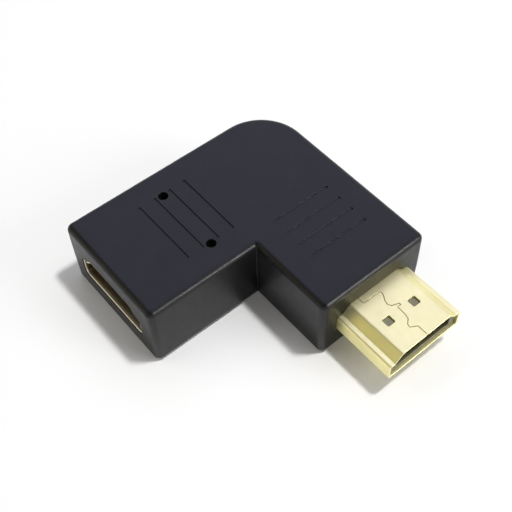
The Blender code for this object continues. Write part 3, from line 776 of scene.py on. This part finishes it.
def white_floor():
    """A pale floor with the object's shadow, that the camera and gloss see turn white further out."""
    mesh = bpy.data.meshes.new("floor")
    corners = [(x, y, 0) for x, y, radius in rectangle(FLOOR_WIDTH, FLOOR_WIDTH, 0)]
    mesh.from_pydata(corners, [], [(0, 1, 2, 3)])
    floor = place("floor", mesh)
    look = Look("white_table")
    look.set({
        "Base Color": (FLOOR_COLOUR, FLOOR_COLOUR, FLOOR_COLOUR, 1),
        "Roughness": FLOOR_ROUGHNESS,
        "Specular IOR Level": FLOOR_SPECULAR,
        "Emission Color": (1, 1, 1, 1),
    })
    path = look.add("ShaderNodeLightPath")
    seen = look.worked_out("MAXIMUM", path.outputs["Is Camera Ray"], path.outputs["Is Glossy Ray"])
    look.join(look.worked_out("MULTIPLY", seen, FLOOR_LIFT), look.shader.inputs["Emission Strength"])
    distance = look.add("ShaderNodeVectorMath", operation="LENGTH")
    look.join(look.place, distance.inputs[0])
    far = look.spread(distance.outputs["Value"], 0.0, 1.0, FLOOR_NEAR, FLOOR_FAR)
    whiteness = look.worked_out("MULTIPLY", far, seen)
    surface = look.mixed(whiteness, look.shader, look.add("ShaderNodeEmission"))
    look.join(surface, look.tree.nodes["Material Output"].inputs["Surface"])
    floor.data.materials.append(look.material)


def lamps():
    for name, towards, width, height, radiance, colour, lights, in_gloss in LAMPS:
        lamp = bpy.data.lights.new(name, "AREA")
        lamp.shape = "RECTANGLE"
        lamp.size, lamp.size_y = width, height
        lamp.energy = radiance * math.pi * width * height
        lamp.color = colour
        obj = place(name, lamp)
        direction = Vector(towards).normalized()
        obj.location = LAMP_AIM + direction * LAMP_DISTANCE
        obj.rotation_euler = direction.to_track_quat("Z", "Y").to_euler()
        obj.visible_diffuse = lights
        obj.visible_glossy = in_gloss


def camera():
    sin_a, cos_a = math.sin(CAMERA_AZIMUTH), math.cos(CAMERA_AZIMUTH)
    sin_e, cos_e = math.sin(CAMERA_ELEVATION), math.cos(CAMERA_ELEVATION)
    back = Vector((sin_a * cos_e, -cos_a * cos_e, sin_e))
    level = Vector((cos_a, sin_a, 0))
    upright = back.cross(level)
    right = math.cos(CAMERA_ROLL) * level + math.sin(CAMERA_ROLL) * upright
    up = math.cos(CAMERA_ROLL) * upright - math.sin(CAMERA_ROLL) * level
    data = bpy.data.cameras.new("camera")
    data.lens = CAMERA_LENS
    data.sensor_width = CAMERA_SENSOR
    data.shift_x, data.shift_y = CAMERA_SHIFT
    data.clip_start = CAMERA_CLIP_START
    obj = place("camera", data)
    turn = Matrix((right, up, back)).transposed().to_4x4()
    obj.matrix_world = Matrix.Translation(CAMERA_TARGET + back * CAMERA_DISTANCE) @ turn
    bpy.context.scene.camera = obj


def dress_cad_nodes():
    """Gives the nodes that stay in view as they are their materials."""
    materials = {
        "_contact_": gold("plated_contacts", CONTACT_ROUGHNESS, CONTACT_GOLD),
        "_insulator": dark_plastic("insulator_plastic", INSULATOR_ROUGHNESS, INSULATOR_GREY),
        "inner_mould": dark_plastic("core_plastic", CORE_ROUGHNESS, CORE_BLACK),
        "circuit_board": board_green(),
    }
    for name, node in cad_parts.items():
        for words, material in materials.items():
            if words in name:
                node.material_slots[0].material = material


def main():
    camera()
    sheet_gold = gold("plated_sheet", GOLD_ROUGHNESS, GOLD)
    tongue_black = dark_plastic("tongue_plastic", INSULATOR_ROUGHNESS, TONGUE_BLACK)
    dress(moulded_body(), vinyl(), "outer_mould")
    dress(plug_sheet(), sheet_gold, "plug_shell")
    dress(socket_sheet(), socket_metal(), "socket_shell")
    dress(tongue_block(), tongue_black, "socket_insulator")
    dress_cad_nodes()
    white_floor()
    backdrop()
    lamps()


main()
bpy.context.scene.view_settings.view_transform = "Standard"
